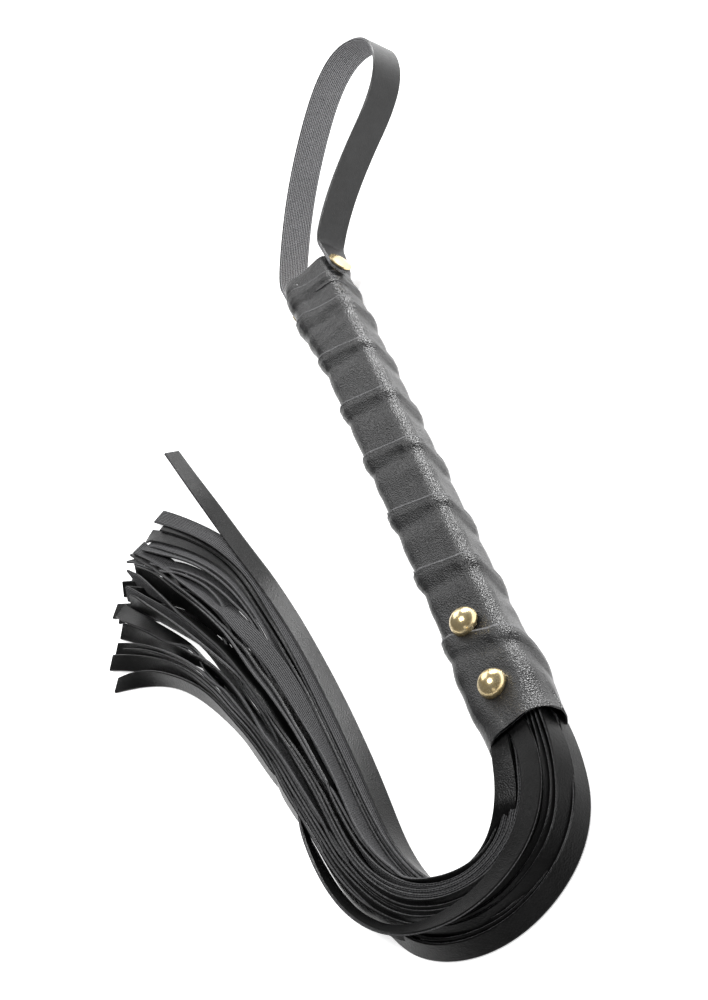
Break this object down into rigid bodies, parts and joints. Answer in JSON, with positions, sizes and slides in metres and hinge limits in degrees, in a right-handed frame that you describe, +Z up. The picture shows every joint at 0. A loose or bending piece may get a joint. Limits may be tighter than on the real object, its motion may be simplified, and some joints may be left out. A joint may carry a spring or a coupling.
{
  "type": "multi-tail whip",
  "caption": "Whip with a leather-wrapped bar handle, brass rivets, a standing wrist loop, and a fringe of flat tails that turns back beside the handle.",
  "frame": {"origin": "centre of the handle's underside, halfway along it", "axes": "+Y along the handle towards the wrist loop, +Z up from the surface the whip lies on, +X to the right, away from the side the tails turn back to"},
  "size_m": [0.1772, 0.3016, 0.0291],
  "materials": {
    "wrap_leather": "soft imitation leather, satin",
    "tail_leather": "imitation leather, smooth face and knitted back",
    "strap_leather": "imitation leather, smooth face and knitted back",
    "brass": "polished",
    "core_wood": "raw"
  },
  "bodies": {
    "handle": {"handle_core": "core_wood", "tail_root": "tail_leather", "grip_wrap": "wrap_leather", "mouth_rivet_1_cap": "brass", "mouth_rivet_1_post": "brass", "mouth_rivet_2_cap": "brass", "mouth_rivet_2_post": "brass", "strap_rivet_cap": "brass", "strap_rivet_post": "brass", "tail_01": "tail_leather", "tail_02": "tail_leather", "tail_03": "tail_leather", "tail_04": "tail_leather", "tail_05": "tail_leather", "tail_06": "tail_leather", "tail_07": "tail_leather", "tail_08": "tail_leather", "tail_09": "tail_leather", "tail_10": "tail_leather", "tail_11": "tail_leather", "tail_12": "tail_leather", "tail_13": "tail_leather", "tail_14": "tail_leather", "tail_15": "tail_leather", "tail_16": "tail_leather", "tail_17": "tail_leather", "tail_18": "tail_leather", "tail_19": "tail_leather", "tail_20": "tail_leather", "tail_21": "tail_leather", "tail_22": "tail_leather", "tail_23": "tail_leather", "tail_24": "tail_leather", "tail_25": "tail_leather", "tail_26": "tail_leather"},
    "wrist_loop": {"wrist_strap": "strap_leather"}
  },
  "joints": [
    {"name": "wrist_loop_swing", "type": "hinge", "parent": "handle", "child": "wrist_loop", "pos_m": [0, 0.093, 0.0084], "axis": [0.9659, 0, 0.2588], "range_deg": [-95, 95]}
  ]
}
